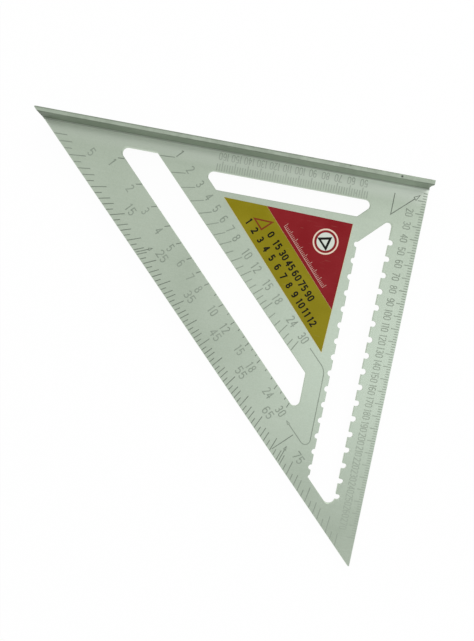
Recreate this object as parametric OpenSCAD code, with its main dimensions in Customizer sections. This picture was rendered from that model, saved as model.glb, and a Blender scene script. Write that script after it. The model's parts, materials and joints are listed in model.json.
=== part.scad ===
// Speed square: a triangular aluminium square with a T-shaped fence, three slots,
// stamped scales filled with paint, and a printed label.
// The origin is the pivot corner, where the fence's working face meets the rule edge.
// +X runs along the fence, +Y along the rule edge and +Z out of the printed face.
// z = 0 is the middle of the blade. Sizes are millimetres.

/* [Blade] */
// Length of each leg, from the pivot corner to the tip
leg = 304.8; // [300:0.1:400]
// Thickness of the blade
blade_t = 3; // [2:0.1:5]
// Edge break along the rule edge and the mitre edge
edge_break = 0.4; // [0.1:0.05:0.7]
// Rounding of the two tips
tip_r = 0.9; // [0.3:0.1:1.8]

/* [Fence] */
// Full width of the fence, across both faces of the blade
fence_w = 25.4; // [18:0.1:40]
// Thickness of the fence
fence_t = 3.7; // [2.5:0.1:6]
// Fillet where the fence meets the blade
root_r = 0.5; // [0.3:0.1:1.8]
// Rounding of the fence's outer edges
rim_r = 1.2; // [0.5:0.1:1.5]
// Rounding of the fence's inner edges
lip_r = 0.4; // [0.2:0.1:0.8]
// Depth of the hollow in the fence's end at the pivot
relief_depth = 1.2; // [0.5:0.1:2]
// Width of solid rim left outside that hollow
relief_rim = 1.7; // [1:0.1:4]

/* [Slots] */
// Width of blade between the mitre edge and the long slot
mitre_band = 35; // [33:0.1:42]
// Width of the long slot
long_slot_w = 23.4; // [16:0.1:26]
// Width of blade between the fence and the long slot
long_slot_rail = 10.3; // [6:0.1:14]
// Distance from the rule edge to the long slot's end
long_slot_end = 65.1; // [63:0.1:80]
// Distance from the fence to the fence slot
fence_slot_rail = 16; // [14.5:0.1:17]
// Width of the fence slot
fence_slot_w = 14.2; // [9:0.1:16]
// Width of blade between the long slot and the fence slot
fence_slot_web = 21.6; // [19:0.1:30]
// Distance from the fence slot's pivot end to the bisector of the pivot corner
fence_slot_end = 14.1; // [8:0.1:20]
// Distance from the rule edge to the notched slot
notched_slot_rail = 22.2; // [20.5:0.1:24]
// Width of the notched slot
notched_slot_w = 23.6; // [16:0.1:25]
// Distance from the notched slot's pivot end to the bisector of the pivot corner
notched_slot_end = 2.4; // [1:0.1:6]
// Width of blade between the mitre edge and the notched slot
notched_slot_band = 13.6; // [12.5:0.1:18]
// Rounding of the slots' sharp corners
sharp_r = 4.2; // [2:0.1:5]
// Rounding of the notched slot's sharp corner at the pivot
notched_pivot_r = 3.1; // [2:0.1:5]
// Rounding of its sharp corner at the free tip
notched_tip_r = 5; // [2:0.1:6]
// Rounding of the slots' wide corners
wide_r = 1.5; // [0.5:0.1:3]
// Edge break along the slots
slot_break = 0.4; // [0.1:0.05:0.7]

/* [Pencil notches] */
// Spacing of the notches and of the scallops
notch_pitch = 12.8; // [10:0.1:20]
// Radius of the notches, on the rule edge's side of the slot
notch_r = 2.3; // [1.5:0.1:3]
// Depth of the notches
notch_depth = 3.8; // [3:0.1:5]
// Distance from the fence to the first notch
notch_first = 45; // [40:0.1:60]
// Radius of the scallops, on the slot's other side
scallop_r = 2.4; // [1.5:0.1:3]
// Distance from the fence to the first scallop
scallop_first = 51; // [50:0.1:65]
// Radius of the relief in the slot's corner past the last scallop
corner_relief_r = 1.8; // [1:0.1:2.2]
// Depth of that relief
corner_relief = 1.2; // [0.5:0.1:1.6]

/* [Marks] */
// Depth of the stamped marks
mark_depth = 0.3; // [0.15:0.05:0.6]
// Depth of the paint's surface below the blade's face
paint_sink = 0.08; // [0.03:0.01:0.12]
// Width of a stamped line
line_w = 0.7; // [0.3:0.05:0.9]
// Clearance between the paint and an edge that its groove runs out of
paint_gap = 0.1; // [0.05:0.05:0.5]

/* [Degree scale] */
// Length of the marks beside each five degrees, square to the mitre edge
degree_short = 5; // [3:0.1:6]
// Length of the marks between those
degree_middle = 8; // [6:0.1:9]
// Length of the marks at each five degrees
degree_long = 10.6; // [9:0.1:11.5]
// Length of the pointed marks between whole degrees
degree_pointed = 13.9; // [12.5:0.1:15]
// First and last degree that are marked
degree_start = 2; // [1:1:4]
degree_end = 87; // [80:1:88]
// Gap between a long mark and its numeral
degree_numeral_gap = 2; // [1.5:0.1:3]
// Height of the degree numerals
degree_numeral_h = 7.2; // [5:0.1:7.4]

/* [Rafter scales] */
// Length of the numbered marks of the common rafter scale
common_long = 4.3; // [3:0.1:5]
// Length of its other marks
common_short = 2.2; // [1:0.1:2.8]
// Length of the numbered marks of the hip rafter scale
hip_long = 9.2; // [6.5:0.1:9.5]
// Length of its other marks
hip_short = 6.4; // [4:0.1:6.5]
// Height of the numerals of both scales
rafter_numeral_h = 7.2; // [5:0.1:7.4]
// Gap between a numbered mark and its numeral, on the common rafter scale
common_numeral_gap = 1.9; // [1:0.1:2.2]
// The same on the hip rafter scale
hip_numeral_gap = 1.1; // [1:0.1:2]

/* [Rules] */
// Spacing of the rule marks
rule_pitch = 2; // [2:0.5:5]
// Length of the short marks on the rule edge
edge_short = 3.6; // [2:0.1:4]
// Length of the marks there at each ten millimetres
edge_long = 6.8; // [5.5:0.1:7.2]
// Last mark on the rule edge
edge_rule_end = 280; // [200:10:280]
// Length of the short marks on the fence slot
slot_short = 5.8; // [3:0.1:6.5]
// Length of the marks there at each ten millimetres
slot_long = 8; // [7:0.1:8.4]
// First mark on the fence slot
slot_rule_start = 46; // [44:2:60]
// Last mark on the fence slot
slot_rule_end = 164; // [100:2:164]
// Height of the numerals on the rule edge
edge_numeral_h = 6; // [4:0.1:6.2]
// Gap between a long mark there and its numeral
edge_numeral_gap = 1.6; // [0.6:0.1:1.8]
// Height of the numerals on the fence slot
slot_numeral_h = 5.8; // [4:0.1:6]
// Gap between a long mark there and its numeral
slot_numeral_gap = 0.6; // [0.5:0.1:1]

/* [Pointers] */
// Distance of the pivot pointer's straight line from the rule edge
pivot_line_at = 25.2; // [23:0.1:26]
// Distance of that line's start from the fence
pivot_line_start = 7.4; // [6:0.1:9]
// Length of that line
pivot_line = 16.5; // [10:0.1:18]
// Distance of the pointer's tip from the fence and from the rule edge
pivot_tip = 5.4; // [5:0.1:7]
// Length of that pointer's head
pivot_arrow_l = 5.6; // [4:0.1:6]
// Width of that pointer's head
pivot_arrow_w = 3.6; // [2.4:0.1:4]
// Length of the other pointers' heads
arrow_l = 3.9; // [3:0.1:4.5]
// Width of the other pointers' heads
arrow_w = 2.6; // [2.2:0.1:2.8]
// Width of the lines that outline a pointer's head
arrow_line = 0.5; // [0.4:0.05:0.6]
// Gap between the scallops and the scale loop
loop_gap = 2.8; // [1.5:0.1:3]
// Distance from the long slot to the slanted line that leads into the loop
loop_lead_rail = 13.8; // [12:0.1:15]
// Distance along the mitre edge from the last hip numeral's middle to that line's start
loop_lead_gap = 9.7; // [7:0.1:14]
// Radius of the bend between that line and the loop's run beside the scallops
loop_bend_r = 12; // [6:0.1:14]
// Radius of the loop's turn
loop_r = 4; // [3:0.1:4.5]
// Distance from the mitre edge to the loop's tail
loop_tail_at = 24.8; // [24:0.1:26]
// Distance along the mitre edge from the last common numeral's middle to the loop's tip
loop_tip_gap = 8.3; // [6:0.1:12]
// Distance from the mitre edge to the square line's start
square_line_from = 2.5; // [2.5:0.1:5]
// Gap between the square line and the loop's tail
square_line_gap = 1.8; // [1:0.1:5]

/* [Label] */
// Distance from the rule edge to the label's square corner
label_x = 52; // [50.5:0.1:54]
// Distance from the fence to the label's square corner
label_y = 36.5; // [34:0.1:40]
// Length of the label's two square edges
label_leg = 102.6; // [90:0.1:104]
// Turn of the edge beside the fence slot, from true
label_turn = -1.1; // [-1.5:0.1:1.5]
// Turn of the edge beside the notched slot, from true
label_lean = -2.3; // [-3:0.1:0.5]
// Distance along those edges to the line between red and gold
label_split = 68.3; // [64:0.1:72]
// Width of the film that shows between the inks and along the label's edges, but not beside the fence slot
label_border = 0.2; // [0.1:0.05:1.5]
// Thickness of the film
film_t = 0.15; // [0.08:0.01:0.3]
// Thickness of a layer of ink
ink_t = 0.05; // [0.03:0.01:0.1]
// Height of the label's numerals
label_numeral_h = 6; // [4:0.1:6.2]
// Distance from the label's slanted edge to the middle of the lower row of numerals
label_row_at = 6.6; // [5.5:0.1:7]
// Spacing of the two rows
label_row_pitch = 9; // [7:0.1:10]
// Spacing of the numbers in the upper row
label_angle_pitch = 9.4; // [8.5:0.1:10]
// Spacing of the numbers in the lower row
label_inch_pitch = 8.4; // [8:0.1:9]
// Distance from the red panel's edge to the fine scale
fine_scale_at = 3; // [2:0.1:6]
// Spacing of the fine scale's marks
fine_scale_pitch = 1.4; // [1:0.1:1.6]
// Length of its long marks
fine_scale_long = 4; // [3:0.1:5]
// Length of its short marks
fine_scale_short = 2.4; // [1:0.1:3]
// Width of its lines
fine_scale_line = 0.3; // [0.25:0.05:0.6]
// Diameter of the round sign on the red panel
sign_d = 20; // [14:0.1:22]
// Distance of its centre from the label's square edges
sign_at = 17.5; // [13:0.1:18]
// Width of the sign's ring
sign_ring = 1.2; // [0.6:0.1:2]

/* [Hidden] */

metal_color = "#acb9aa";
paint_color = "#4a5048";
root2 = sqrt(2);
top_z = blade_t / 2;
rim_z = fence_w / 2;
// How far a cut runs past the surface that it opens
past = 1;
// How far below a slot's edge break its cut starts
flare_dip = 0.2;
// Steps of the arcs in numerals and in outlines, in degrees
arc_step = 30;
smooth_step = 10;

// Depths from the mitre edge, measured square to it
pivot_depth = leg / root2;
long_slot_far = mitre_band + long_slot_w;
degree_numeral_at = degree_long + degree_numeral_gap + degree_numeral_h / 2;
common_numeral_at = mitre_band - common_long - common_numeral_gap - rafter_numeral_h / 2;
hip_numeral_at = long_slot_far + hip_long + hip_numeral_gap + rafter_numeral_h / 2;
edge_paint = edge_break + paint_gap;
slot_paint = slot_break + paint_gap;

// Sides of the slots: the sloping ones are given as x + y, which is the same all along the mitre.
// Each slot is the list of its corners, counter-clockwise, and the list of their radii.
long_slot_outer = leg - mitre_band * root2;
long_slot_inner = leg - long_slot_far * root2;
fence_slot_outer = long_slot_inner - fence_slot_web * root2;
fence_slot_top = fence_slot_rail + fence_slot_w;
notched_slot_outer = leg - notched_slot_band * root2;
notched_slot_far = notched_slot_rail + notched_slot_w;
slot_radii = [sharp_r, wide_r, wide_r, sharp_r];
slots = [
    [
        [
            [long_slot_end, long_slot_outer - long_slot_end],
            [long_slot_end, long_slot_inner - long_slot_end],
            [long_slot_inner - long_slot_rail, long_slot_rail],
            [long_slot_outer - long_slot_rail, long_slot_rail]
        ],
        slot_radii
    ],
    [
        [
            [fence_slot_outer - fence_slot_rail, fence_slot_rail],
            [fence_slot_outer - fence_slot_top, fence_slot_top],
            [fence_slot_top + fence_slot_end * root2, fence_slot_top],
            [fence_slot_rail + fence_slot_end * root2, fence_slot_rail]
        ],
        slot_radii
    ],
    [
        [
            [notched_slot_rail, notched_slot_rail + notched_slot_end * root2],
            [notched_slot_far, notched_slot_far + notched_slot_end * root2],
            [notched_slot_far, notched_slot_outer - notched_slot_far],
            [notched_slot_rail, notched_slot_outer - notched_slot_rail]
        ],
        [notched_pivot_r, wide_r, wide_r, notched_tip_r]
    ]
];
notch_last = notched_slot_outer - notched_slot_rail - notched_tip_r * (1 + root2);
scallop_last = notched_slot_outer - notched_slot_far - 2 * scallop_r;

// Numbers on the rafter scales, and the run that each rise is set against
rafter_numbered = [1, 2, 3, 4, 5, 6, 7, 8, 10, 12, 15, 18, 24, 30];
rafter_plain = [9, 11, 13, 14, 16, 17, 20, 22, 26, 28];
common_run = 12;
hip_run = 17;
// Angles marked between whole degrees
pointed_degrees = [22.5, 72.5];
// Angle whose mark the square line starts from
square_line_degree = 70;

// Numerals: width, stroke and gap as shares of their height
wide_numeral = 0.58;
slim_numeral = 0.48;
plain_stroke = 0.12;
bold_stroke = 0.19;
digit_gap = 0.12;
tight_gap = 0.07;
// Share of a digit's width that a 1 takes, and the same in the rules
plain_one = 0.8;
slim_one = 0.55;

// Points of an ellipse's arc, from one angle to another
function arc(c, rx, ry, from, to, step = arc_step) =
    let (n = ceil(abs(to - from) / step))
    [for (i = [0:n]) let (a = from + (to - from) * i / n) c + [rx * cos(a), ry * sin(a)]];

function unit(v) = v / norm(v);
function left_of(v) = [-v[1], v[0]];

// A path's point i, moved to its left by d, with a mitred joint
function joint(path, i, d) =
    let (
        n = len(path) - 1,
        before = left_of(unit(path[max(i, 1)] - path[max(i, 1) - 1])),
        after = left_of(unit(path[min(i, n - 1) + 1] - path[min(i, n - 1)])),
        middle = unit(before + after)
    )
    path[i] + middle * d / (middle * before);

// Outline of a line of width w along an open path
function ribbon(path, w) =
    let (n = len(path) - 1)
    concat(
        [for (i = [0:n]) joint(path, i, w / 2)],
        [for (i = [n:-1:0]) joint(path, i, -w / 2)]
    );

// Corner q of an outline, between p and next, rounded to radius r
function round_corner(p, q, next, r) =
    let (
        u = unit(p - q),
        v = unit(next - q),
        bisector = unit(u + v),
        half = acos(u * v) / 2,
        c = q + bisector * r / sin(half),
        middle = atan2(-bisector[1], -bisector[0]),
        sweep = (cross(u, v) > 0 ? -1 : 1) * (90 - half)
    )
    r == 0 ? [q] : arc(c, r, r, middle - sweep, middle + sweep, smooth_step);

// An outline with each corner rounded to its own radius
function rounded(points, radii) =
    let (n = len(points))
    [for (i = [0:n - 1])
        each round_corner(points[(i + n - 1) % n], points[i], points[(i + 1) % n], radii[i])];

// Corners of an outline with each side moved out by d
function grown(points, d) =
    let (n = len(points))
    [for (i = [0:n - 1])
        let (
            u = unit(points[(i + n - 1) % n] - points[i]),
            v = unit(points[(i + 1) % n] - points[i])
        )
        points[i] - unit(u + v) * d / sin(acos(u * v) / 2)];

module line(path, w) polygon(ribbon(path, w));

// A closed oval line
module loop(c, rx, ry, w) difference() {
    polygon(arc(c, rx + w / 2, ry + w / 2, 0, 360 - arc_step));
    polygon(arc(c, rx - w / 2, ry - w / 2, 0, 360 - arc_step));
}

// Outline with straight sides and round ends, b wide and h high, grown by d
function stadium(b, h, d) =
    let (r = b / 2)
    concat(arc([r, h - r], r + d, r + d, 0, 180), arc([r, r], r + d, r + d, 180, 360));

// Digits drawn as lines of width s: b and h are measured between the middles of the lines
module digit_0(b, h, s) difference() {
    polygon(stadium(b, h, s / 2));
    polygon(stadium(b, h, -s / 2));
}

module digit_1(b, h, s) {
    x = b * 0.62;
    flag = b * 0.4;
    polygon([
        [x - s / 2, -s / 2], [x + s / 2, -s / 2], [x + s / 2, h + s / 2], [x - s / 2, h + s / 2],
        [x - s / 2 - flag, h + s / 2 - flag], [x - s / 2 - flag, h - s / 2 - flag], [x - s / 2, h - s / 2]
    ]);
}

module digit_2(b, h, s) {
    r = b / 2;
    line(concat(arc([r, h - r], r, r, 170, -30), [[s * 0.2, 0]]), s);
    line([[-s / 2, 0], [b + s / 2, 0]], s);
}

module digit_3(b, h, s) {
    r = b / 2;
    line(concat(arc([r, h * 0.75], r * 0.92, h / 4, 155, -90), [[b * 0.3, h / 2]]), s);
    line(arc([r, h / 4], r, h / 4, 90, -155), s);
}

module digit_4(b, h, s) {
    stem = b * 0.76;
    bar = h * 0.28;
    line([[stem, -s / 2], [stem, h + s / 2]], s);
    line([[stem, h], [0, bar + s * 0.3]], s);
    line([[-s / 2, bar], [b + s / 2, bar]], s);
}

module digit_5(b, h, s) {
    r = b / 2;
    line([[b * 0.96, h], [b * 0.06, h], [0, h * 0.46]], s);
    line(arc([r, h * 0.31], r, h * 0.31, 150, -150), s);
}

module digit_6(b, h, s) {
    r = b / 2;
    bowl = h * 0.3;
    line(concat(arc([r, h - r], r, r, 40, 180), arc([r, bowl], r, bowl, 180, 360)), s);
    line(arc([r, bowl], r, bowl, 0, 160), s);
}

module digit_7(b, h, s) line([[-s / 2, h], [b, h], [b * 0.32, -s / 2]], s);

module digit_8(b, h, s) {
    loop([b / 2, h * 0.27], b / 2, h * 0.27, s);
    loop([b / 2, h * 0.77], b * 0.44, h * 0.23, s);
}

module digit(n, b, h, s) {
    if (n == 0) digit_0(b, h, s);
    if (n == 1) digit_1(b, h, s);
    if (n == 2) digit_2(b, h, s);
    if (n == 3) digit_3(b, h, s);
    if (n == 4) digit_4(b, h, s);
    if (n == 5) digit_5(b, h, s);
    if (n == 6) digit_6(b, h, s);
    if (n == 7) digit_7(b, h, s);
    if (n == 8) digit_8(b, h, s);
    if (n == 9) translate([b, h]) rotate(180) digit_6(b, h, s);
}

// Where digit i of a number starts, for full digits of width w and a 1 of width w1
function digit_start(digits, i, w, w1, gap) =
    i == 0 ? 0 : digit_start(digits, i - 1, w, w1, gap) + (digits[i - 1] == "1" ? w1 : w) + gap;

// A whole number of height h, centred on the origin
module number(n, h, aspect = slim_numeral, stroke = plain_stroke, gap = digit_gap, one = plain_one) {
    digits = str(n);
    count = len(digits);
    w = h * aspect;
    w1 = w * one;
    s = h * stroke;
    length = digit_start(digits, count, w, w1, h * gap) - h * gap;
    for (i = [0:count - 1])
        translate([digit_start(digits, i, w, w1, h * gap) - (length - s) / 2, -(h - s) / 2])
            digit(ord(digits[i]) - ord("0"), (digits[i] == "1" ? w1 : w) - s, h - s, s);
}

// Frame of the marks along the mitre edge: x runs from the fence's end, y towards the pivot
module on_mitre() translate([leg, 0]) rotate(135) children();

// Frame of the marks along the rule edge: x runs from the fence, y out of the blade
module on_rule_edge() rotate(90) children();

// Where a line from the pivot, at an angle from the fence, lies at a depth from the mitre edge
function along_mitre(angle, depth) = pivot_depth - (pivot_depth - depth) * tan(45 - angle);

// How far along the mitre edge a point of the blade lies
function mitre_place(p) = (leg - p[0] + p[1]) / root2;

// A mark on such a line, between two depths
module ray_mark(angle, from, to) {
    half = line_w / 2 / cos(45 - angle);
    a = along_mitre(angle, from);
    b = along_mitre(angle, to);
    polygon([[a - half, from], [a + half, from], [b + half, to], [b - half, to]]);
}

// A line along a path that ends in a pointer's head, l long and w wide, drawn as an outline
module pointer(path, l, w) {
    n = len(path) - 1;
    tip = path[n];
    on = unit(tip - path[n - 1]);
    side = left_of(on) * w / 2;
    shaft = concat([for (i = [0:n - 1]) path[i]], [tip - on * l]);
    point = arrow_line * norm([l, w / 2]) / (w / 2);
    inner = l - arrow_line - point;
    difference() {
        polygon(concat(
            [for (i = [0:n]) joint(shaft, i, line_w / 2)],
            [shaft[n] + side, tip, shaft[n] - side],
            [for (i = [n:-1:0]) joint(shaft, i, -line_w / 2)]
        ));
        translate(tip - on * point)
            polygon([[0, 0], -on * inner + side * inner / l, -on * inner - side * inner / l]);
    }
}

// Plans of the marks: edge is how far each stays inside the edge that it runs out of
function degree_length(a) =
    a % 5 == 0 ? degree_long : a % 5 == 1 || a % 5 == 4 ? degree_short : degree_middle;

module degree_marks(edge) on_mitre() {
    for (a = [degree_start:degree_end]) ray_mark(a, edge, degree_length(a));
    for (a = pointed_degrees)
        pointer([for (d = [edge + line_w, degree_pointed]) [along_mitre(a, d), d]], arrow_l, arrow_w);
}

module degree_numerals() on_mitre()
    for (a = [5:10:75])
        translate([along_mitre(a, degree_long), degree_numeral_at])
            number(a, degree_numeral_h, wide_numeral);

module common_marks(edge) on_mitre() {
    for (n = rafter_numbered)
        ray_mark(atan(n / common_run), mitre_band - common_long, mitre_band - edge);
    for (n = rafter_plain)
        ray_mark(atan(n / common_run), mitre_band - common_short, mitre_band - edge);
}

module common_numerals() on_mitre()
    for (n = rafter_numbered)
        translate([along_mitre(atan(n / common_run), mitre_band - common_long), common_numeral_at])
            number(n, rafter_numeral_h);

module hip_marks(edge) on_mitre() {
    for (n = rafter_numbered)
        ray_mark(atan(n / hip_run), long_slot_far + edge, long_slot_far + hip_long);
    for (n = rafter_plain)
        ray_mark(atan(n / hip_run), long_slot_far + edge, long_slot_far + hip_short);
}

module hip_numerals() on_mitre()
    for (n = rafter_numbered)
        translate([along_mitre(atan(n / hip_run), long_slot_far + hip_long), hip_numeral_at])
            number(n, rafter_numeral_h);

module rule_edge_marks(edge) on_rule_edge()
    for (y = [2 * rule_pitch:rule_pitch:edge_rule_end]) {
        length = y % 10 == 0 ? edge_long : edge_short;
        translate([y - line_w / 2, -length]) square([line_w, length - edge]);
    }

module rule_edge_numerals() on_rule_edge()
    for (y = [20:10:edge_rule_end - 10])
        translate([y, -edge_long - edge_numeral_gap - edge_numeral_h / 2])
            number(y, edge_numeral_h, gap = tight_gap, one = slim_one);

module fence_slot_marks(edge)
    for (x = [slot_rule_start:rule_pitch:slot_rule_end]) {
        length = x % 10 == 0 ? slot_long : slot_short;
        translate([x - line_w / 2, fence_slot_rail - length]) square([line_w, length - edge]);
    }

module fence_slot_numerals()
    for (x = [50:10:slot_rule_end])
        translate([x, fence_slot_rail - slot_long - slot_numeral_gap - slot_numeral_h / 2])
            number(x, slot_numeral_h, gap = tight_gap, one = slim_one);

module pivot_pointer() pointer([
    [pivot_line_at, pivot_line_start],
    [pivot_line_at, pivot_line_start + pivot_line],
    [pivot_tip, pivot_tip]
], pivot_arrow_l, pivot_arrow_w);

// The loop leads from the hip numerals, runs down beside the scallops and turns up to the common numerals
module scale_loop() {
    x = notched_slot_far + scallop_r + loop_gap;
    slope = [cos(45), -sin(45)];
    last = rafter_numbered[len(rafter_numbered) - 1];
    bend = [x + loop_bend_r,
        leg - (long_slot_far + loop_lead_rail) * root2 - x - loop_bend_r * (1 - root2)];
    turn = [x + loop_r, leg - loop_tail_at * root2 - x - loop_r * (1 + root2)];
    lead = mitre_place(bend) - along_mitre(atan(last / hip_run), long_slot_far + hip_long) - loop_lead_gap;
    tail = mitre_place(turn) - along_mitre(atan(last / common_run), mitre_band - common_long) - loop_tip_gap;
    pointer(concat(
        [bend + loop_bend_r * [cos(225), sin(225)] + lead * slope],
        arc(bend, loop_bend_r, loop_bend_r, 225, 180, smooth_step),
        arc(turn, loop_r, loop_r, 180, 45, smooth_step),
        [turn + loop_r * [cos(45), sin(45)] + tail * slope]
    ), arrow_l, arrow_w);
}

module square_line() on_mitre()
    translate([along_mitre(square_line_degree, 0) - line_w / 2, square_line_from])
        square([line_w, loop_tail_at - square_line_gap - square_line_from]);

// Plans of the pencil notches and of the scallops across the slot from them
module notches()
    for (y = [notch_first:notch_pitch:notch_last])
        translate([notched_slot_rail - notch_depth + notch_r, y]) {
            circle(notch_r, $fn = 48);
            translate([0, -notch_r]) square([notch_depth, 2 * notch_r]);
        }

module scallops()
    for (y = [scallop_first:notch_pitch:scallop_last])
        translate([notched_slot_far, y]) circle(scallop_r, $fn = 48);

// Plan of the relief in the notched slot's corner
module slot_relief()
    translate([
        notched_slot_far + corner_relief - corner_relief_r,
        notched_slot_outer - notched_slot_far - corner_relief_r
    ]) circle(corner_relief_r, $fn = 48);

// The blade reaches half-way into the fence
module blade() translate([0, 0, -top_z]) linear_extrude(blade_t) difference() {
    polygon(rounded(
        [[0, -fence_t / 2], [leg - fence_t, -fence_t / 2], [leg, 0], [0, leg]],
        [0, 0, 0, tip_r]
    ));
    for (slot = slots) polygon(rounded(slot[0], slot[1]));
    notches();
    scallops();
    slot_relief();
}

// Section of the fence, with y across it and z along its width, and a tab that runs into the blade
function fence_section() =
    let (tab = root_r + past)
    rounded([
        [-fence_t, -rim_z], [-fence_t, rim_z], [0, rim_z], [0, top_z],
        [tab, top_z], [tab, -top_z], [0, -top_z], [0, -rim_z]
    ], [rim_r, rim_r, lip_r, root_r, 0, 0, root_r, lip_r]);

// The fence's far end is cut along the mitre, and its pivot end is hollowed on both sides of the blade
module fence() {
    chord = rim_z - relief_rim - top_z;
    relief_r = chord * chord / (8 * relief_depth) + relief_depth / 2;
    inside = root_r + 2 * past;
    difference() {
        intersection() {
            rotate([90, 0, 90]) linear_extrude(leg + 2 * fence_t) polygon(fence_section());
            translate([0, 0, -fence_w]) linear_extrude(2 * fence_w) polygon(rounded(
                [[-past, -fence_t], [leg + fence_t, -fence_t], [leg - inside, inside], [-past, inside]],
                [0, tip_r, 0, 0]
            ));
        }
        for (side = [-1, 1])
            translate([relief_depth - relief_r, 0, side * (top_z + chord / 2)])
                rotate([90, 0, 0]) cylinder(h = fence_t + past, r = relief_r, $fn = 96);
    }
}

// Edge breaks on both faces, clear of the fence's fillet
module edge_breaks() {
    clear = root_r + past;
    side = edge_break * root2;
    for (z = [-top_z, top_z]) {
        translate([0, clear + leg / 2, z]) rotate([0, 45, 0]) cube([side, leg, side], center = true);
        translate([leg, 0, z]) rotate(135) translate([clear * root2 + leg, 0, 0])
            rotate([45, 0, 0]) cube([2 * leg, side, side], center = true);
    }
}

// A cut that widens as it rises: its outline is grown by as much as it lies above z = 0
module flare(corners, radii, from, to) {
    rings = [for (d = [from, to])
        [for (p = rounded(grown(corners, d), [for (r = radii) r + d])) [p[0], p[1], d]]];
    n = len(rings[0]);
    polyhedron(concat(rings[0], rings[1]), concat(
        [[for (i = [0:n - 1]) i]],
        [[for (i = [n - 1:-1:0]) n + i]],
        [for (i = [0:n - 1]) [i, n + i, n + (i + 1) % n, (i + 1) % n]]
    ));
}

// Edge breaks of the slots, on both faces
module slot_breaks()
    for (slot = slots, face = [0, 1])
        mirror([0, 0, face]) translate([0, 0, top_z - slot_break])
            flare(slot[0], slot[1], -flare_dip, slot_break + past);

// Groove and paint of a mark's plan
module groove() translate([0, 0, top_z - mark_depth]) linear_extrude(mark_depth + past) children();

module paint() color(paint_color)
    translate([0, 0, top_z - mark_depth]) linear_extrude(mark_depth - paint_sink) children();

module square_body() color(metal_color) difference() {
    union() {
        blade();
        fence();
    }
    edge_breaks();
    slot_breaks();
    groove() degree_marks(-past);
    groove() degree_numerals();
    groove() common_marks(-past);
    groove() common_numerals();
    groove() hip_marks(-past);
    groove() hip_numerals();
    groove() rule_edge_marks(-past);
    groove() rule_edge_numerals();
    groove() fence_slot_marks(-past);
    groove() fence_slot_numerals();
    groove() pivot_pointer();
    groove() scale_loop();
    groove() square_line();
}

// A point of the label, by its distances along the label's two square edges
function label_point(u, v) =
    [label_x, label_y] + u * [cos(label_turn), sin(label_turn)] + v * [-sin(label_lean), cos(label_lean)];

// Frame along the label's slanted edge: x runs from the edge's fence end, y towards the square corner
module on_label_edge() {
    start = label_point(label_leg, 0);
    run = label_point(0, label_leg) - start;
    translate(start) rotate(atan2(run[1], run[0])) children();
}

// A layer of ink: level 0 lies on the film, and level 1 on the ink of level 0
module ink(level) translate([0, 0, top_z + film_t + level * ink_t]) linear_extrude(ink_t) children();

module label_film() color("#d8cf7a") translate([0, 0, top_z]) linear_extrude(film_t)
    polygon([label_point(0, 0), label_point(label_leg, 0), label_point(0, label_leg)]);

module label_gold_ink() color("#8f8218") ink(0) {
    inner = label_split + label_border / 2;
    outer = label_leg - label_border * root2;
    polygon([
        label_point(inner, 0), label_point(outer, 0),
        label_point(label_border, outer - label_border), label_point(label_border, inner - label_border)
    ]);
}

module label_red_ink() color("#8e2228") ink(0) {
    outer = label_split - label_border / 2;
    polygon([
        label_point(label_border, 0),
        label_point(outer, 0), label_point(label_border, outer - label_border)
    ]);
}

// Two rows of plain numbers: angles above, whole inches below
module label_numerals() color("#15150f") ink(1) on_label_edge() {
    middle = label_leg / root2;
    for (i = [0:6])
        translate([middle + (i - 3) * label_angle_pitch, label_row_at + label_row_pitch])
            number(15 * i, label_numeral_h, wide_numeral, bold_stroke);
    for (i = [1:12])
        translate([middle + (i - 6.5) * label_inch_pitch, label_row_at])
            number(i, label_numeral_h, wide_numeral, bold_stroke);
}

// A small right-angled triangle, drawn as an outline
module label_triangle() color("#7a2a1c") ink(1) on_label_edge() {
    side = 2 * label_numeral_h;
    wall = label_numeral_h * bold_stroke;
    corner = wall * (1 + root2);
    translate([
        label_leg / root2 - 5 * label_angle_pitch,
        label_row_at + label_row_pitch - label_numeral_h * 0.8
    ]) difference() {
        polygon([[0, 0], [side, 0], [side, side]]);
        polygon([[corner, wall], [side - wall, wall], [side - wall, side - corner]]);
    }
}

// A fine comb of white lines along the edge of the red panel
module label_fine_scale() color("#e8dcd2") ink(1) on_label_edge() {
    base = (label_leg - label_split) / root2 + fine_scale_at;
    middle = label_leg / root2;
    count = 20;
    half = fine_scale_line / 2;
    polygon(concat(
        [[middle - count * fine_scale_pitch - half, base]],
        [for (i = [-count:count])
            let (
                x = middle + i * fine_scale_pitch,
                root = base + fine_scale_line,
                tip = base + (i % 5 == 0 ? fine_scale_long : fine_scale_short)
            )
            each [[x - half, root], [x - half, tip], [x + half, tip], [x + half, root]]],
        [[middle + count * fine_scale_pitch + half, base]]
    ));
}

// The round sign: a ring, a pale field inside it and a set square on the field
module label_sign_ring() color("#e6d2b8") ink(1) translate(label_point(sign_at, sign_at)) difference() {
    circle(d = sign_d, $fn = 96);
    circle(d = sign_d - 2 * sign_ring, $fn = 96);
}

module label_sign_field() color("#cdd6c8") ink(1) translate(label_point(sign_at, sign_at))
    circle(d = sign_d - 5 * sign_ring, $fn = 96);

module label_sign_square() color("#15150f") ink(2) translate(label_point(sign_at, sign_at)) {
    r = sign_d / 2 - 3.2 * sign_ring;
    rotate(label_turn - 45) difference() {
        polygon([[0, -r], [r, r * 0.6], [-r, r * 0.6]]);
        polygon([[0, -r * 0.45], [r * 0.5, r * 0.35], [-r * 0.5, r * 0.35]]);
    }
}

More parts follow.
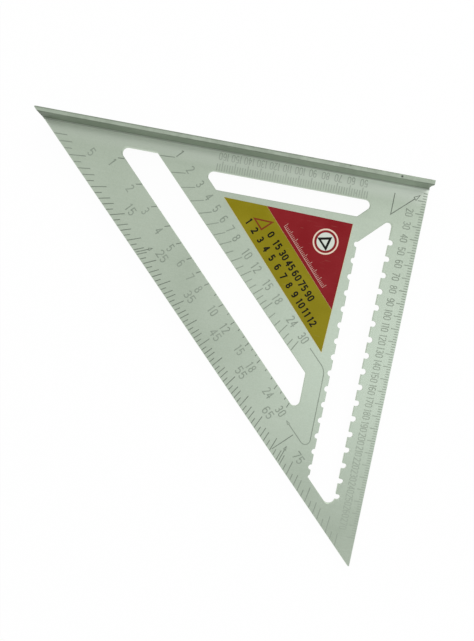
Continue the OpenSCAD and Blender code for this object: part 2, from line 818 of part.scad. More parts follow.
square_body();
paint() degree_marks(edge_paint);  // degree_marks_paint
paint() degree_numerals();  // degree_numerals_paint
paint() common_marks(slot_paint);  // common_marks_paint
paint() common_numerals();  // common_numerals_paint
paint() hip_marks(slot_paint);  // hip_marks_paint
paint() hip_numerals();  // hip_numerals_paint
paint() rule_edge_marks(edge_paint);  // rule_edge_marks_paint
paint() rule_edge_numerals();  // rule_edge_numerals_paint
paint() fence_slot_marks(slot_paint);  // fence_slot_marks_paint
paint() fence_slot_numerals();  // fence_slot_numerals_paint
paint() pivot_pointer();  // pivot_pointer_paint
paint() scale_loop();  // scale_loop_paint
paint() square_line();  // square_line_paint
label_film();
label_gold_ink();
label_red_ink();
label_numerals();
label_triangle();
label_fine_scale();
label_sign_ring();
label_sign_field();
label_sign_square();
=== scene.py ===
"""Finishes, studio and camera of a 12 inch speed square.

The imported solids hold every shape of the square, so nothing is modelled on it here. Each solid gets its
finish, and the square lies on a pale floor under soft light, seen from where the photograph was taken.
Lengths are metres, apart from those whose names end in _mm or _px.
"""
import json
import logging
import math
from dataclasses import dataclass
from enum import Enum

import bpy
from mathutils import Matrix, Vector


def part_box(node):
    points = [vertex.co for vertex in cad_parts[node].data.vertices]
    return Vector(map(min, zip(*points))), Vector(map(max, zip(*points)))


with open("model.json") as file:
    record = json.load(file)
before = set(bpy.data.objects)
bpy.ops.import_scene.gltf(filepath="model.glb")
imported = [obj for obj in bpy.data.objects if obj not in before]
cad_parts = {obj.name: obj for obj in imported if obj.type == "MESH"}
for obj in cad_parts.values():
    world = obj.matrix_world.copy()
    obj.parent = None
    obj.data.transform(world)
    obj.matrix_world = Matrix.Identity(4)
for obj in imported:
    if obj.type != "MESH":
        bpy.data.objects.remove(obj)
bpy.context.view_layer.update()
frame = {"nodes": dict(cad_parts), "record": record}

LOG = logging.getLogger("speed_square")
MM = 0.001
# What a socket takes: a number, a colour, another socket, or a node for its first output
Pattern = bpy.types.Node | bpy.types.NodeSocket | tuple | float


def linear(code: str) -> tuple[float, float, float, float]:
    """Turns an sRGB hex colour into linear light.

    Args:
        code: a hash sign and six hex digits.

    Returns:
        Red, green, blue and an alpha of 1.
    """
    shares = [int(code[i:i + 2], 16) / 255 for i in (1, 3, 5)]
    light = [s / 12.92 if s <= 0.04045 else ((s + 0.055) / 1.055) ** 2.4 for s in shares]
    return light[0], light[1], light[2], 1.0


def per_mm(size_mm: float) -> float:
    """Gives the texture scale whose features are about size_mm across."""
    return 1.0 / (size_mm * MM)


def add_node(
    tree: bpy.types.NodeTree, kind: str, inputs: dict | None = None, **settings: object
) -> bpy.types.Node:
    """Adds a node with its settings and links.

    Args:
        tree: the tree that takes the node.
        kind: the node's type name.
        inputs: for each socket's name or number a value, a socket to link from, or a node whose first
            output is linked.
        settings: the node's own attributes.

    Returns:
        The new node.
    """
    made = tree.nodes.new(kind)
    for key, value in settings.items():
        setattr(made, key, value)
    for key, value in (inputs or {}).items():
        if isinstance(value, bpy.types.Node):
            value = value.outputs[0]
        if isinstance(value, bpy.types.NodeSocket):
            tree.links.new(value, made.inputs[key])
        else:
            made.inputs[key].default_value = value
    return made


class Surface:
    """A material in the making, with its shader and the coordinates that its patterns follow."""

    # Numbers of the Mix node's colour sockets
    MIX_A, MIX_B, MIXED = 6, 7, 2

    def __init__(self, name: str) -> None:
        """Starts a material of that name with a bare shader."""
        self.material = bpy.data.materials.new(name)
        self.material.use_nodes = True
        self.tree = self.material.node_tree
        self.shader = self.tree.nodes["Principled BSDF"]
        self.place = self.add("ShaderNodeTexCoord").outputs["Object"]

    def add(self, kind: str, inputs: dict | None = None, **settings: object) -> bpy.types.Node:
        """Adds a node to this material, as add_node does."""
        return add_node(self.tree, kind, inputs, **settings)

    def total(self, *parts: tuple[Pattern, Pattern]) -> Pattern:
        """Adds up patterns by weight.

        Args:
            parts: pairs of a pattern and its weight, which may be a pattern too.

        Returns:
            The socket that carries the sum.
        """
        so_far: Pattern = 0.0
        for pattern, weight in parts:
            so_far = self.add(
                "ShaderNodeMath", {0: pattern, 1: weight, 2: so_far}, operation="MULTIPLY_ADD"
            ).outputs[0]
        return so_far

    def layers(self, base: str, *coats: tuple[Pattern, str]) -> Pattern:
        """Lays coats of colour over a base.

        Args:
            base: hex colour of the base.
            coats: from the lowest to the top, pairs of how much of a coat shows, from 0 to 1, and its
                hex colour.

        Returns:
            The socket that carries the mixed colour.
        """
        colour: Pattern = linear(base)
        for share, code in coats:
            mixed = self.add(
                "ShaderNodeMix", {0: share, self.MIX_A: colour, self.MIX_B: linear(code)}, data_type="RGBA"
            )
            colour = mixed.outputs[self.MIXED]
        return colour

    def finish(
        self, colour: Pattern, roughness: Pattern, height: Pattern, depth_mm: float
    ) -> bpy.types.Material:
        """Joins the patterns to the shader.

        Args:
            colour: base colour.
            roughness: roughness.
            height: relief, where 1 stands depth_mm above 0.
            depth_mm: depth of the relief.

        Returns:
            The finished material.
        """
        relief = self.add("ShaderNodeBump", {"Height": height, "Distance": depth_mm * MM})
        self.tree.links.new(colour, self.shader.inputs["Base Color"])
        self.tree.links.new(roughness, self.shader.inputs["Roughness"])
        self.tree.links.new(relief.outputs[0], self.shader.inputs["Normal"])
        return self.material


@dataclass(frozen=True)
class BodySizes:
    """Sizes of the square that its finish follows."""

    leg: float
    rim: float
    face: float
    fence: float


@dataclass(frozen=True)
class BlastedAluminium:
    """Extruded aluminium, blasted matt and then worn by use.

    It gives the eye a soft grey-green sheen with no clear reflection, a grain that just shows, faint
    drawing lines along the extrusion and cleaner metal where the edges rub. Painted light brightens the
    strip of the blade beside the fence, most of all at the fence's root and towards the pivot. Painted
    shade darkens the faces that slide along boards, more towards the fence's far end and most of all at
    their ends, and those faces are rougher. Painted shade also lies in the corner below the fence and
    along its outer edge. The rim has blotches of dirt that painted shade makes darker towards the pivot,
    and a dark nick near the pivot.
    """

    dull: str = "#b4c1af"
    clean: str = "#c0ccbb"
    bare: str = "#d3dad2"
    # Colour of the painted light beside the fence
    bright: str = "#e9f1e6"
    # Dirt, and painted shade in the corner, along the outer edge, on the sliding faces and on the rim
    dirt_and_shade: str = "#616c5c"
    soot: str = "#3a3e38"
    # The oxide on blasted metal scatters part of the light
    metallic: float = 0.85
    least_roughness: float = 0.3
    relief_mm: float = 0.012
    cloud_mm: float = 63.0
    line_mm: float = 1.3
    line_length_mm: float = 150.0
    # Blasting leaves pits of about 0.1 mm, drawn coarser here so that they show
    grain_mm: float = 0.9
    # Of a pattern's levels, the one where its mark starts to show and the one where it shows in full
    tone_levels: tuple[float, float] = (0.46, 0.79)
    scratch_levels: tuple[float, float] = (0.7, 0.76)
    blotch_levels: tuple[float, float] = (0.35, 0.65)
    scratch_mm: float = 0.5
    scratch_length_mm: float = 26.0
    scratch_turns: tuple[float, float] = (28.0, -57.0)
    pit_spacing_mm: float = 16.0
    # A dent is made where a cell's random tone is above this
    pit_limit: float = 0.62
    blotch_mm: float = 5.0
    ragged_mm: float = 1.8
    # Distances at which a mark starts to fall and is gone
    pit_mm: tuple[float, float] = (0.32, 0.8)
    rub_mm: tuple[float, float] = (0.9, 1.62)
    # The next three are painted shade, in the corner below the fence, along its outer edge and at its ends
    corner_mm: tuple[float, float] = (0.55, 1.05)
    arris_mm: tuple[float, float] = (0.7, 1.5)
    end_mm: tuple[float, float] = (2.0, 16.0)
    # The next two are painted light beside the fence, at the root and wide
    root_mm: tuple[float, float] = (0.9, 3.2)
    painted_light_mm: tuple[float, float] = (3.5, 14.5)
    nick_mm: tuple[float, float] = (0.3, 1.25)
    past_face_mm: tuple[float, float] = (0.1, 0.4)
    # Distances at which a mark starts to show and shows in full
    above_blade_mm: tuple[float, float] = (0.3, 0.8)
    below_rim_mm: tuple[float, float] = (1.0, 0.4)
    pivot_end_mm: tuple[float, float] = (18.0, 42.0)
    nick_at_mm: tuple[float, float] = (25.0, -1.6)
    # Strengths at the pivot and at the fence's far end
    # Of the painted light beside the fence
    painted_light_share: tuple[float, float] = (1.25, 0.55)
    # Of the painted shade on the faces that slide along boards
    slid_shade_share: tuple[float, float] = (0.25, 0.58)
    # Of the painted shade on the rim's dirt
    rim_shade_share: tuple[float, float] = (0.52, 0.25)
    # Strengths of the other marks
    # The next two are painted light beside the fence, wide and at the root
    strip_share: float = 0.55
    root_share: float = 0.4
    rubbed_share: float = 0.35
    scratch_share: float = 0.1
    # The next three are painted shade, at the fence's ends, in the corner below the fence and along its
    # outer edge
    end_share: float = 0.35
    corner_share: float = 0.6
    arris_share: float = 0.5
    pit_share: float = 0.4
    # Share of the rim's dirt and painted shade left at the pivot's end
    pivot_end_share: float = 0.7
    blotch_share: float = 0.5

    def material(self, sizes: BodySizes) -> bpy.types.Material:
        """Builds the finish.

        Args:
            sizes: sizes of the square.

        Returns:
            The material.
        """
        s = Surface("blasted_aluminium")
        s.shader.inputs["Metallic"].default_value = self.metallic
        clouds = s.add("ShaderNodeTexNoise", {
            "Vector": s.place, "Scale": per_mm(self.cloud_mm), "Detail": 3.0,
        })
        grain = s.add("ShaderNodeTexNoise", {
            "Vector": s.place, "Scale": per_mm(self.grain_mm), "Detail": 2.0,
        })
        drawn = s.add("ShaderNodeMapping", {
            "Vector": s.place,
            "Scale": (per_mm(self.line_length_mm), per_mm(self.line_mm), per_mm(self.line_mm)),
        })
        lines = s.add("ShaderNodeTexNoise", {"Vector": drawn, "Scale": 1.0, "Detail": 2.0})
        tone = s.total((clouds, 0.65), (lines, 0.1), (grain, 0.5))
        least, most = self.tone_levels
        cleaner = s.add("ShaderNodeMapRange", {"Value": tone, "From Min": least, "From Max": most})

        x, y, z = s.add("ShaderNodeSeparateXYZ", {0: s.place}).outputs
        height = s.add("ShaderNodeMath", {0: z}, operation="ABSOLUTE")
        scratches = self._scratches(s)
        pits = self._pits(s)
        rubbed = self._rubbed(s, x, y, sizes.leg, grain)
        slid = self._slid(s, y, height, sizes.face)
        # Painted light: masks of the blade beside the fence, wide and at the root
        strip = self._painted_light_strip(s, y, height, sizes.face, self.painted_light_mm)
        root = self._painted_light_strip(s, y, height, sizes.face, self.root_mm)
        # Painted shade: masks of the corner below the fence and of its outer edge
        corner = self._along_fence(s, y, height, (0.0, sizes.face), self.corner_mm)
        arris = self._along_fence(s, y, height, (-sizes.fence, sizes.rim), self.arris_mm)
        # The rim's dirt blotches, which also carry painted shade
        rim_dirt_and_shade = self._rim_dirt_and_shade(s, x, height, sizes.rim)
        nick = self._nick(s, sizes.rim)

        # Painted light beside the fence, stronger towards the pivot
        painted_light_mask = s.total((strip, self.strip_share), (root, self.root_share))
        bright = s.total((painted_light_mask, self._changing(s, x, sizes.leg, self.painted_light_share)))
        worn = s.total((rubbed, self.rubbed_share), (scratches, self.scratch_share))
        # Painted shade on the sliding faces, stronger towards the far end and at both ends
        slid_painted_shade = s.total(
            (self._changing(s, x, sizes.leg, self.slid_shade_share), 1.0),
            (self._ends(s, x, sizes.leg), self.end_share),
        )
        # Painted shade on the rim, stronger towards the pivot
        rim_shade_strength = self._changing(s, x, sizes.leg, self.rim_shade_share)
        # Painted shade in the corner, along the outer edge, on the sliding faces and on the rim, with dirt
        # in the rim's blotches and in the pits
        stains_and_shade = s.total(
            (corner, self.corner_share), (arris, self.arris_share), (slid, slid_painted_shade), (rim_dirt_and_shade, rim_shade_strength),
            (pits, self.pit_share),
        )
        # The bright coat is painted light; the stains coat is dirt and painted shade
        colour = s.layers(
            self.dull, (cleaner, self.clean), (bright, self.bright), (worn, self.bare),
            (stains_and_shade, self.dirt_and_shade), (nick, self.soot),
        )
        rougher = s.total(
            (clouds, 0.16), (grain, 0.06), (rubbed, -0.06), (slid, 0.14), (corner, 0.12)
        )
        roughness = s.add("ShaderNodeMath", {0: rougher, 1: self.least_roughness}, operation="ADD")
        relief = s.total((grain, 1.0), (lines, 0.2), (pits, -3.0), (nick, -6.0), (scratches, -0.5))
        return s.finish(colour, roughness.outputs[0], relief, self.relief_mm)

    def _scratches(self, s: Surface) -> Pattern:
        """Draws short, thin scratches in two directions and returns where they are."""
        length, width = per_mm(self.scratch_length_mm), per_mm(self.scratch_mm)
        least, most = self.scratch_levels
        found = []
        for turn in self.scratch_turns:
            along = s.add("ShaderNodeMapping", {
                "Vector": s.place,
                "Rotation": (0.0, 0.0, math.radians(turn)),
                "Scale": (length, width, length),
            })
            streaks = s.add("ShaderNodeTexNoise", {"Vector": along, "Scale": 1.0, "Detail": 0.0})
            deep = s.add("ShaderNodeMapRange", {"Value": streaks, "From Min": least, "From Max": most})
            found.append((deep, 1.0))
        return s.total(*found)

    def _pits(self, s: Surface) -> Pattern:
        """Scatters small dark dents and returns where they are."""
        near, far = self.pit_mm
        cells = s.add("ShaderNodeTexVoronoi", {"Vector": s.place, "Scale": per_mm(self.pit_spacing_mm)})
        spot = s.add("ShaderNodeMapRange", {
            "Value": cells, "From Min": near / self.pit_spacing_mm, "From Max": far / self.pit_spacing_mm,
            "To Min": 1.0, "To Max": 0.0,
        })
        few = s.add(
            "ShaderNodeMath", {0: cells.outputs["Color"], 1: self.pit_limit}, operation="GREATER_THAN"
        )
        return s.add("ShaderNodeMath", {0: spot, 1: few}, operation="MULTIPLY")

    def _rubbed(self, s: Surface, x: Pattern, y: Pattern, leg: float, grain: Pattern) -> Pattern:
        """Finds the rubbed strips along the rule edge and the mitre edge.

        Args:
            s: the material.
            x: distance from the rule edge.
            y: distance from the fence.
            leg: length of the legs.
            grain: pattern that makes the strips' borders ragged.

        Returns:
            The node that carries 1 on a rubbed edge and 0 elsewhere.
        """
        near, far = self.rub_mm
        reach = s.add("ShaderNodeMath", {0: x, 1: y}, operation="ADD")
        from_mitre = s.add("ShaderNodeMath", {0: leg, 1: reach}, operation="SUBTRACT")
        nearest = s.add("ShaderNodeMath", {0: x, 1: from_mitre}, operation="MINIMUM")
        ragged = s.total((nearest, 1.0), (grain, self.ragged_mm * MM))
        return s.add("ShaderNodeMapRange", {
            "Value": ragged, "From Min": near * MM, "From Max": far * MM, "To Min": 1.0, "To Max": 0.0,
        })

    def _changing(self, s: Surface, x: Pattern, leg: float, shares: tuple[float, float]) -> Pattern:
        """Gives a strength that changes evenly along the fence.

        Args:
            s: the material.
            x: distance from the rule edge.
            leg: length of the fence.
            shares: the strength at the pivot and at the far end.

        Returns:
            The node that carries the strength.
        """
        return s.add("ShaderNodeMapRange", {
            "Value": x, "From Max": leg, "To Min": shares[0], "To Max": shares[1],
        })

    def _painted_light_strip(
        self, s: Surface, y: Pattern, height: Pattern, face: float, reach_mm: tuple[float, float]
    ) -> Pattern:
        """Finds the strip of the blade beside the fence, where painted light brightens it.

        Args:
            s: the material.
            y: distance from the fence.
            height: distance from the middle of the blade.
            face: height of the blade's face.
            reach_mm: distances at which the strip starts to fall and is gone.

        Returns:
            The node that carries 1 beside the fence and 0 elsewhere.
        """
        near, far = reach_mm
        beside = s.add("ShaderNodeMapRange", {
            "Value": y, "From Min": near * MM, "From Max": far * MM, "To Min": 1.0, "To Max": 0.0,
        })
        near, far = self.past_face_mm
        on_blade = s.add("ShaderNodeMapRange", {
            "Value": height, "From Min": face + near * MM, "From Max": face + far * MM,
            "To Min": 1.0, "To Max": 0.0,
        })
        return s.add("ShaderNodeMath", {0: beside, 1: on_blade}, operation="MULTIPLY")

    def _ends(self, s: Surface, x: Pattern, leg: float) -> Pattern:
        """Finds the two ends of the fence.

        Args:
            s: the material.
            x: distance from the rule edge.
            leg: length of the fence.

        Returns:
            The node that carries 1 at the ends and 0 between them.
        """
        near, far = self.end_mm
        off = s.add("ShaderNodeMath", {0: x, 1: leg / 2}, operation="SUBTRACT")
        away = s.add("ShaderNodeMath", {0: off}, operation="ABSOLUTE")
        return s.add("ShaderNodeMapRange", {
            "Value": away, "From Min": leg / 2 - far * MM, "From Max": leg / 2 - near * MM,
        })

    def _rim_dirt_and_shade(self, s: Surface, x: Pattern, height: Pattern, rim: float) -> Pattern:
        """Finds the blotched dirt on the fence's rim, weaker near the pivot's end, which also carries
        painted shade.

        Args:
            s: the material.
            x: distance from the rule edge.
            height: distance from the middle of the blade.
            rim: height of the fence's rim.

        Returns:
            The node that carries 1 where the rim is darkest, by dirt and painted shade, and 0 elsewhere.
        """
        near, far = self.pivot_end_mm
        near_pivot = s.add("ShaderNodeMapRange", {
            "Value": x, "From Min": near * MM, "From Max": far * MM,
            "To Min": self.pivot_end_share, "To Max": 1.0,
        })
        near, far = self.below_rim_mm
        on_rim = s.add("ShaderNodeMapRange", {
            "Value": height, "From Min": rim - near * MM, "From Max": rim - far * MM,
        })
        blotches = s.add("ShaderNodeTexNoise", {
            "Vector": s.place, "Scale": per_mm(self.blotch_mm), "Detail": 3.0,
        })
        least, most = self.blotch_levels
        thick = s.add("ShaderNodeMapRange", {
            "Value": blotches, "From Min": least, "From Max": most, "To Min": self.blotch_share,
        })
        share = s.add("ShaderNodeMath", {0: near_pivot, 1: on_rim}, operation="MULTIPLY")
        return s.add("ShaderNodeMath", {0: share, 1: thick}, operation="MULTIPLY")

    def _nick(self, s: Surface, rim: float) -> Pattern:
        """Finds a nick on the fence's rim.

        Args:
            s: the material.
            rim: height of the rim.

        Returns:
            The node that carries 1 in the nick and 0 elsewhere.
        """
        x, y = self.nick_at_mm
        away = s.add("ShaderNodeVectorMath", {0: s.place, 1: (x * MM, y * MM, rim)}, operation="DISTANCE")
        near, far = self.nick_mm
        return s.add("ShaderNodeMapRange", {
            "Value": away.outputs["Value"], "From Min": near * MM, "From Max": far * MM,
            "To Min": 1.0, "To Max": 0.0,
        })

    def _slid(self, s: Surface, y: Pattern, height: Pattern, face: float) -> Pattern:
        """Finds the fence's faces that slide along boards.

        Args:
            s: the material.
            y: distance from those faces.
            height: distance from the middle of the blade.
            face: height of the blade's face.

        Returns:
            The node that carries 1 on those faces and 0 elsewhere.
        """
        away = s.add("ShaderNodeMath", {0: y}, operation="ABSOLUTE")
        near, far = self.past_face_mm
        on_face = s.add("ShaderNodeMapRange", {
            "Value": away, "From Min": near * MM, "From Max": far * MM, "To Min": 1.0, "To Max": 0.0,
        })
        near, far = self.above_blade_mm
        above = s.add("ShaderNodeMapRange", {
            "Value": height, "From Min": face + near * MM, "From Max": face + far * MM,
        })
        return s.add("ShaderNodeMath", {0: on_face, 1: above}, operation="MULTIPLY")

    def _along_fence(
        self, s: Surface, y: Pattern, height: Pattern, line: tuple[float, float],
        reach_mm: tuple[float, float],
    ) -> Pattern:
        """Finds what lies close to a line along the fence.

        Args:
            s: the material.
            y: distance from the fence's working faces.
            height: distance from the middle of the blade.
            line: the line's y and height.
            reach_mm: distances at which the mark starts to fall and is gone.

        Returns:
            The node that carries 1 at the line and 0 away from it.
        """
        aside = s.add("ShaderNodeMath", {0: y, 1: line[0]}, operation="SUBTRACT")
        above = s.add("ShaderNodeMath", {0: height, 1: line[1]}, operation="SUBTRACT")
        apart = s.add("ShaderNodeCombineXYZ", {"X": aside, "Y": above})
        away = s.add("ShaderNodeVectorMath", {0: apart}, operation="LENGTH").outputs["Value"]
        near, far = reach_mm
        return s.add("ShaderNodeMapRange", {
            "Value": away, "From Min": near * MM, "From Max": far * MM, "To Min": 1.0, "To Max": 0.0,
        })


@dataclass(frozen=True)
class RubbedPaint:
    """Matt enamel wiped into stamped marks.

    It gives dull grey-green lines that are thin and pale in places, where hands and boards rubbed them, and
    nearly gone at the square's two tips.
    """

    name: str
    full: str
    thin: str
    gone: str = "#adb9a9"
    # Where the paint starts to go towards the fence's tip and the free tip, where it stops, and how far
    fence_tip_mm: tuple[float, float] = (245.0, 296.0)
    fence_tip_share: float = 0.6
    free_tip_mm: tuple[float, float] = (215.0, 285.0)
    free_tip_share: float = 0.7
    # Where it gets thinner on the way to the free tip, and by how much
    thinner_mm: tuple[float, float] = (95.0, 140.0)
    thinner_share: float = 0.0
    patch_mm: float = 9.0
    broad_mm: float = 70.0
    # Enamel's own grain is finer than a pixel, so it is drawn at the width of a stamped line
    grain_mm: float = 0.7
    # Levels of wear at which the paint is full and at which it is thin
    wear_levels: tuple[float, float] = (0.36, 0.66)
    roughness: tuple[float, float] = (0.55, 0.8)
    relief_mm: float = 0.04

    def material(self) -> bpy.types.Material:
        """Builds the finish."""
        s = Surface(self.name)
        patches = s.add("ShaderNodeTexNoise", {
            "Vector": s.place, "Scale": per_mm(self.patch_mm), "Detail": 2.0,
        })
        broad = s.add("ShaderNodeTexNoise", {"Vector": s.place, "Scale": per_mm(self.broad_mm)})
        grain = s.add("ShaderNodeTexNoise", {
            "Vector": s.place, "Scale": per_mm(self.grain_mm), "Detail": 2.0,
        })
        wear = s.total((patches, 0.45), (broad, 0.3), (grain, 0.25))
        least, most = self.wear_levels
        worn = s.add("ShaderNodeMapRange", {"Value": wear, "From Min": least, "From Max": most})
        x, y, _ = s.add("ShaderNodeSeparateXYZ", {0: s.place}).outputs
        coats = [(worn, self.thin)]
        for place, (start, stop), share in (
            (x, self.fence_tip_mm, self.fence_tip_share),
            (y, self.free_tip_mm, self.free_tip_share),
            (y, self.thinner_mm, self.thinner_share),
        ):
            lost = s.add("ShaderNodeMapRange", {
                "Value": place, "From Min": start * MM, "From Max": stop * MM, "To Max": share,
            })
            coats.append((lost, self.gone))
        colour = s.layers(self.full, *coats)
        smooth, coarse = self.roughness
        roughness = s.add("ShaderNodeMapRange", {"Value": grain, "To Min": smooth, "To Max": coarse})
        return s.finish(colour, roughness.outputs[0], grain, self.relief_mm)


@dataclass(frozen=True)
class PrintedVinyl:
    """Printed vinyl: a film, or a layer of screen ink on it.

    It gives a flat strong colour with a satin gloss, a faint unevenness where the ink went on thinner, fine
    dots of print and pale scuffs.
    """

    name: str
    ink: str
    thin: str
    scuff: str = "#c9c2a4"
    uneven_mm: float = 16.0
    # Screen dots are about 0.3 mm, drawn coarser here so that they show
    dot_mm: float = 0.8
    # Levels of cover at which the ink is full and at which it is thin
    cover_levels: tuple[float, float] = (0.4, 0.7)
    scuff_mm: float = 0.6
    scuff_length_mm: float = 11.0
    scuff_turn: float = 18.0
    scuff_levels: tuple[float, float] = (0.7, 0.8)
    scuff_share: float = 0.16
    ripple_mm: float = 22.0
    gloss: float = 0.1
    least_roughness: float = 0.3
    relief_mm: float = 0.06

    def material(self) -> bpy.types.Material:
        """Builds the finish."""
        s = Surface(self.name)
        s.shader.inputs["Specular IOR Level"].default_value = self.gloss
        uneven = s.add("ShaderNodeTexNoise", {
            "Vector": s.place, "Scale": per_mm(self.uneven_mm), "Detail": 2.0,
        })
        dots = s.add("ShaderNodeTexNoise", {"Vector": s.place, "Scale": per_mm(self.dot_mm), "Detail": 1.0})
        ripple = s.add("ShaderNodeTexNoise", {"Vector": s.place, "Scale": per_mm(self.ripple_mm)})
        across = s.add("ShaderNodeMapping", {
            "Vector": s.place,
            "Rotation": (0.0, 0.0, math.radians(self.scuff_turn)),
            "Scale": (per_mm(self.scuff_length_mm), per_mm(self.scuff_mm), per_mm(self.scuff_mm)),
        })
        streaks = s.add("ShaderNodeTexNoise", {"Vector": across, "Scale": 1.0, "Detail": 1.0})
        least, most = self.scuff_levels
        scuffs = s.add("ShaderNodeMapRange", {
            "Value": streaks, "From Min": least, "From Max": most, "To Max": self.scuff_share,
        })
        cover = s.total((uneven, 0.6), (dots, 0.4))
        least, most = self.cover_levels
        thinner = s.add("ShaderNodeMapRange", {"Value": cover, "From Min": least, "From Max": most})
        colour = s.layers(self.ink, (thinner, self.thin), (scuffs, self.scuff))
        rougher = s.total((uneven, 0.15), (scuffs, 0.5))
        roughness = s.add("ShaderNodeMath", {0: rougher, 1: self.least_roughness}, operation="ADD")
        height = s.total((ripple, 2.0), (dots, 0.3))
        return s.finish(colour, roughness.outputs[0], height, self.relief_mm)


class LabelLayer(Enum):
    """The layers of the label, each with its node's name."""

    FILM = "label_film"
    GOLD = "label_gold_ink"
    RED = "label_red_ink"
    NUMERALS = "label_numerals"
    TRIANGLE = "label_triangle"
    FINE_SCALE = "label_fine_scale"
    RING = "label_sign_ring"
    FIELD = "label_sign_field"
    SIGN = "label_sign_square"


def dress(node: str, material: bpy.types.Material) -> None:
    """Gives a node its finish.

    Args:
        node: the node's name.
        material: its material.
    """
    mesh = frame["nodes"][node].data
    mesh.materials.clear()
    mesh.materials.append(material)
    LOG.info("%s: %s", node, material.name)


@dataclass(frozen=True)
class SquareBody:
    """The blade and the fence, in one piece of aluminium."""

    node: str = "square_body"
    finish: BlastedAluminium = BlastedAluminium()

    def sizes(self) -> BodySizes:
        """Reads the body's sizes from its box, the label on its face and the middle of its mitre edge."""
        low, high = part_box(self.node)
        mounts = {mount["name"]: mount["pos_m"] for mount in frame["record"]["mounts"]}
        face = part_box(LabelLayer.FILM.value)[0].z
        return BodySizes(leg=sum(mounts["mitre_edge"]), rim=high.z, face=face, fence=-low.y)

    def dress(self) -> None:
        """Gives the body its finish."""
        dress(self.node, self.finish.material(self.sizes()))


class Wear(Enum):
    """How far the paint in a group of marks is rubbed away."""

    LITTLE = RubbedPaint("enamel_in_lines", full="#6a7367", thin="#889385")
    SOME = RubbedPaint("enamel_in_numerals", full="#828e7f", thin="#9faa9b")
    MUCH = RubbedPaint("enamel_rubbed_thin", full="#838f7f", thin="#a0ab9c", thinner_share=0.5)
    MOST = RubbedPaint("enamel_rubbed_pale", full="#99a495", thin="#aeb9aa")
    BARE = RubbedPaint("enamel_rubbed_bare", full="#a6b1a2", thin="#b8c3b4")


@dataclass(frozen=True)
class StampedScales:
    """The paint in the stamped scales, lines and numerals."""

    suffix: str = "_paint"
    # Starts of the names of the groups that are rubbed more than a little
    rubbed: tuple[tuple[str, Wear], ...] = (
        ("degree_numerals", Wear.SOME),
        ("common_numerals", Wear.SOME),
        ("hip", Wear.SOME),
        ("scale_loop", Wear.SOME),
        ("rule_edge", Wear.MUCH),
        ("fence_slot_marks", Wear.MOST),
        ("fence_slot_numerals", Wear.BARE),
    )

    def wear(self, node: str) -> Wear:
        """Says how far the paint of a node is rubbed away."""
        return next((wear for start, wear in self.rubbed if node.startswith(start)), Wear.LITTLE)

    def dress(self) -> None:
        """Gives each group of marks its paint."""
        paint = {wear: wear.value.material() for wear in Wear}
        for node in sorted(frame["nodes"]):
            if node.endswith(self.suffix):
                dress(node, paint[self.wear(node)])


@dataclass(frozen=True)
class Label:
    """The printed label: a film and the inks on it."""

    film: PrintedVinyl = PrintedVinyl("cream_film", ink="#dccb96", thin="#e2d2a4")
    gold: PrintedVinyl = PrintedVinyl("gold_ink", ink="#887d0c", thin="#928718")
    red: PrintedVinyl = PrintedVinyl("red_ink", ink="#85171d", thin="#8c2126")
    black: PrintedVinyl = PrintedVinyl("black_ink", ink="#100f0a", thin="#211f15")
    rust: PrintedVinyl = PrintedVinyl("rust_ink", ink="#7c3418", thin="#8a4a22")
    cream: PrintedVinyl = PrintedVinyl("cream_ink", ink="#ead9c4", thin="#e0c9b4")
    pale: PrintedVinyl = PrintedVinyl("pale_ink", ink="#d3dccf", thin="#dde4da")
    pink: PrintedVinyl = PrintedVinyl("pink_ink", ink="#d6b4a8", thin="#cda79b")

    def dress(self) -> None:
        """Gives each layer its ink."""
        inks = {
            LabelLayer.FILM: self.film,
            LabelLayer.GOLD: self.gold,
            LabelLayer.RED: self.red,
            LabelLayer.NUMERALS: self.black,
            LabelLayer.TRIANGLE: self.rust,
            LabelLayer.FINE_SCALE: self.pink,
            LabelLayer.RING: self.cream,
            LabelLayer.FIELD: self.pale,
            LabelLayer.SIGN: self.black,
        }
        made = {ink.name: ink.material() for ink in inks.values()}
        for layer, ink in inks.items():
            dress(layer.value, made[ink.name])


@dataclass(frozen=True)
class Softbox:
    """A square lamp with a soft front."""

    name: str
    place: Vector
    aim: Vector
    side: float
    watts: float
    tint: str = "#ffffff"

    def build(self) -> None:
        """Hangs the lamp."""
        data = bpy.data.lights.new(self.name, "AREA")
        data.size = self.side
        data.energy = self.watts
        data.color = linear(self.tint)[:3]
        lamp = bpy.data.objects.new(self.name, data)
        lamp.location = self.place
        lamp.rotation_euler = (self.aim - self.place).to_track_quat("-Z", "Y").to_euler()
        bpy.context.scene.collection.objects.link(lamp)


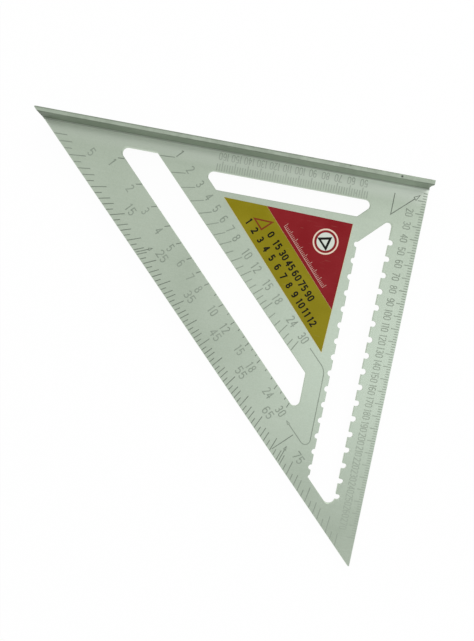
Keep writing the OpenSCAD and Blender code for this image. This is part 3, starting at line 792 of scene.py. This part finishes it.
@dataclass(frozen=True)
class Studio:
    """A pale floor, two soft lamps and a plain bright room."""

    floor_radius: float = 12.0
    floor_sides: int = 96
    # Share of the floor's whiteness that shadows don't touch
    floor_glow: float = 0.96
    # The sheen lamp is what the blade mirrors, and the key lamp shades the rest
    sheen: Softbox = Softbox(
        "sheen_lamp", Vector((-0.22, 0.16, 0.92)), Vector((0.017, 0.14, 0.0)), 0.45, 0.65, "#f2f5ff"
    )
    key: Softbox = Softbox("key_lamp", Vector((-0.7, -1.6, 1.0)), Vector((0.1, 0.1, 0.0)), 1.0, 10.0)
    ambient: float = 0.78
    # The ceiling is greyer past the square's free tip
    ceiling: tuple[float, float] = (0.78, 0.42)
    # Parts of a direction along the rule edge and upwards, at which the grey starts and is full
    past_tip: tuple[float, float] = (0.12, 0.45)
    overhead: tuple[float, float] = (0.35, 0.95)

    def build(self, body: SquareBody) -> None:
        """Builds the floor, the lamps and the room.

        Args:
            body: the square, which lies on the fence's back rim and on its free tip.
        """
        self._floor(body.sizes())
        self.sheen.build()
        self.key.build()
        self._room()

    def _seen(self, tree: bpy.types.NodeTree) -> Pattern:
        """Adds the test for rays that show a background, straight, mirrored or through glass."""
        rays = add_node(tree, "ShaderNodeLightPath").outputs
        seen: Pattern = rays["Is Camera Ray"]
        for kind in ("Is Glossy Ray", "Is Transmission Ray"):
            seen = add_node(tree, "ShaderNodeMath", {0: seen, 1: rays[kind]}, operation="MAXIMUM")
        return seen

    def _floor(self, body: BodySizes) -> None:
        """Lays the floor under the square.

        Args:
            body: the square's sizes.
        """
        tilt = math.atan2(body.rim - body.face, body.leg)
        bpy.ops.object.select_all(action="DESELECT")
        bpy.ops.mesh.primitive_circle_add(
            vertices=self.floor_sides, radius=self.floor_radius, fill_type="NGON",
            location=(0.0, 0.0, -body.rim), rotation=(tilt, 0.0, 0.0),
        )
        floor = bpy.context.object
        floor.name = "floor"
        paper = bpy.data.materials.new("white_paper")
        paper.use_nodes = True
        tree = paper.node_tree
        tree.nodes.clear()
        glow = add_node(tree, "ShaderNodeEmission")
        matt = add_node(tree, "ShaderNodeBsdfDiffuse", {"Color": linear("#ffffff")})
        share = add_node(
            tree, "ShaderNodeMath", {0: self._seen(tree), 1: self.floor_glow}, operation="MULTIPLY"
        )
        mixed = add_node(tree, "ShaderNodeMixShader", {0: share, 1: matt, 2: glow})
        add_node(tree, "ShaderNodeOutputMaterial", {"Surface": mixed})
        floor.data.materials.append(paper)

    def _room(self) -> None:
        """Surrounds the square with a room that is white at eye level and greyer overhead."""
        room = bpy.data.worlds.new("studio")
        room.use_nodes = True
        tree = room.node_tree
        tree.nodes.clear()
        way = add_node(tree, "ShaderNodeTexCoord").outputs["Generated"]
        _, along, up = add_node(tree, "ShaderNodeSeparateXYZ", {0: way}).outputs
        ceiling = add_node(tree, "ShaderNodeMapRange", {
            "Value": along, "From Min": self.past_tip[0], "From Max": self.past_tip[1],
            "To Min": self.ceiling[0], "To Max": self.ceiling[1],
        })
        wall = add_node(tree, "ShaderNodeMapRange", {
            "Value": up, "From Min": self.overhead[0], "From Max": self.overhead[1],
            "To Min": 1.0, "To Max": ceiling,
        })
        level = add_node(tree, "ShaderNodeMix", {0: self._seen(tree), 2: self.ambient, 3: wall})
        light = add_node(tree, "ShaderNodeBackground", {"Color": linear("#ffffff"), "Strength": level})
        add_node(tree, "ShaderNodeOutputWorld", {"Surface": light})
        bpy.context.scene.world = room


@dataclass(frozen=True)
class PhotoCamera:
    """The camera that took the photograph, in the square's own frame."""

    width_px: int = 474
    height_px: int = 641
    focal_px: float = 490.0
    # Where the camera's axis meets the picture, down from its upper edge
    axis_px: float = 365.0
    sensor_mm: float = 36.0
    place: Vector = Vector((0.112891, 0.137685, 0.389107))
    aim: Vector = Vector((0.119577, 0.161122, 0.0015))
    # Direction on the blade that is up in the picture, from +X
    heading_deg: float = -79.06
    nearest: float = 0.01

    def build(self) -> None:
        """Sets the camera up and makes it the scene's own."""
        data = bpy.data.cameras.new("photo_camera")
        data.sensor_width = self.sensor_mm
        longer = max(self.width_px, self.height_px)
        data.lens = self.sensor_mm * self.focal_px / longer
        data.shift_y = (self.axis_px - self.height_px / 2) / longer
        data.clip_start = self.nearest
        heading = math.radians(self.heading_deg)
        look = (self.aim - self.place).normalized()
        right = look.cross(Vector((math.cos(heading), math.sin(heading), 0.0))).normalized()
        camera = bpy.data.objects.new("photo_camera", data)
        turned = Matrix((right, right.cross(look), -look)).transposed()
        camera.matrix_world = Matrix.Translation(self.place) @ turned.to_4x4()
        bpy.context.scene.collection.objects.link(camera)
        bpy.context.scene.camera = camera


def main() -> None:
    """Dresses the square and sets up the studio and the camera."""
    logging.basicConfig(level=logging.INFO, format="%(name)s %(message)s")
    body = SquareBody()
    for part in (body, StampedScales(), Label()):
        part.dress()
    PhotoCamera().build()
    Studio().build(body)
    bpy.context.scene.view_settings.view_transform = "Standard"


if __name__ == "__main__":
    main()
